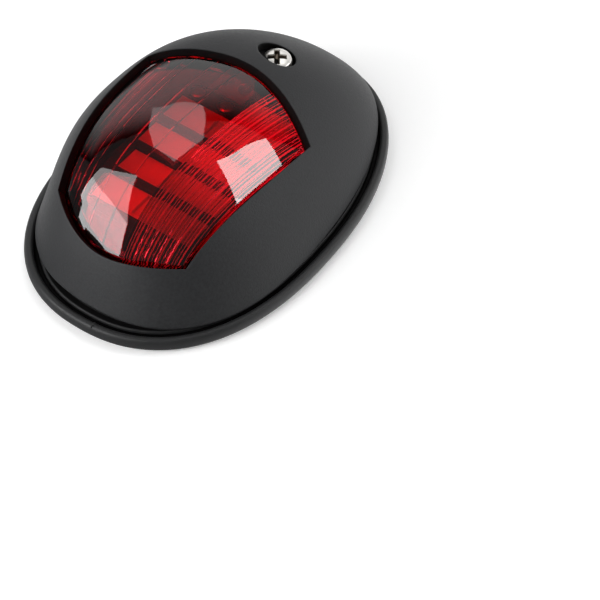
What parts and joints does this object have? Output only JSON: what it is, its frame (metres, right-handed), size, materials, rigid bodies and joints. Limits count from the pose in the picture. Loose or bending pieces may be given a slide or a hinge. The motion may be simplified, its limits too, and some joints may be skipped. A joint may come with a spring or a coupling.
{
  "type": "navigation light",
  "caption": "Oval side-mounted LED navigation light for a boat: red lens in a dark domed cover that opens on a flat base, showing light over a limited sector.",
  "frame": {"origin": "centre of the base's underside, in the plane of the hull", "axes": "+Z out of the mounting face, +X along the oval's long axis towards the cover screw, Y across the oval"},
  "size_m": [0.088, 0.0588, 0.0302],
  "materials": {
    "housing_plastic": "satin moulded charcoal",
    "cover_plastic": "fine-textured charcoal",
    "lens_red": "glossy transparent red, fluted inside",
    "seal_rubber": "matt black rubber",
    "foam_rubber": "closed-cell foam",
    "brass": "machined",
    "stainless": "polished stainless steel",
    "inner_black": "black",
    "board": "solder mask",
    "reflector_white": "glossy white",
    "led_body": "phosphor-filled package",
    "component_black": "moulded package",
    "terminal_plastic": "natural nylon",
    "wire_red": "insulation",
    "wire_black": "insulation",
    "retainer_nylon": "natural nylon"
  },
  "bodies": {
    "housing": {"base_plate": "housing_plastic", "mounting_gasket": "foam_rubber", "cable_grommet": "seal_rubber", "threaded_insert": "brass", "cover_seal": "seal_rubber", "led_carrier": "inner_black", "led_board": "board", "reflector": "reflector_white", "light_baffle": "inner_black", "led_1": "led_body", "led_2": "led_body", "led_3": "led_body", "led_4": "led_body", "board_screw_1": "stainless", "board_screw_2": "stainless", "resistor_1": "component_black", "resistor_2": "component_black", "diode": "component_black", "terminal_block": "terminal_plastic", "terminal_screw_1": "stainless", "terminal_screw_2": "stainless", "wire_positive": "wire_red", "wire_negative": "wire_black"},
    "cover_unit": {"cover": "cover_plastic", "lens": "lens_red", "screw_seal": "seal_rubber"},
    "cover_screw": {"cover_screw": "stainless", "screw_retainer": "retainer_nylon"}
  },
  "joints": [
    {"name": "cover_swing", "type": "hinge", "parent": "housing", "child": "cover_unit", "pos_m": [-0.0405, 0, 0.0036], "axis": [0, -1, 0], "range_deg": [0, 20]},
    {"name": "cover_screw_turn", "type": "hinge", "parent": "cover_unit", "child": "cover_screw", "pos_m": [0.0219, 0, 0.0222], "axis": [0, 0, 1], "continuous": true}
  ]
}
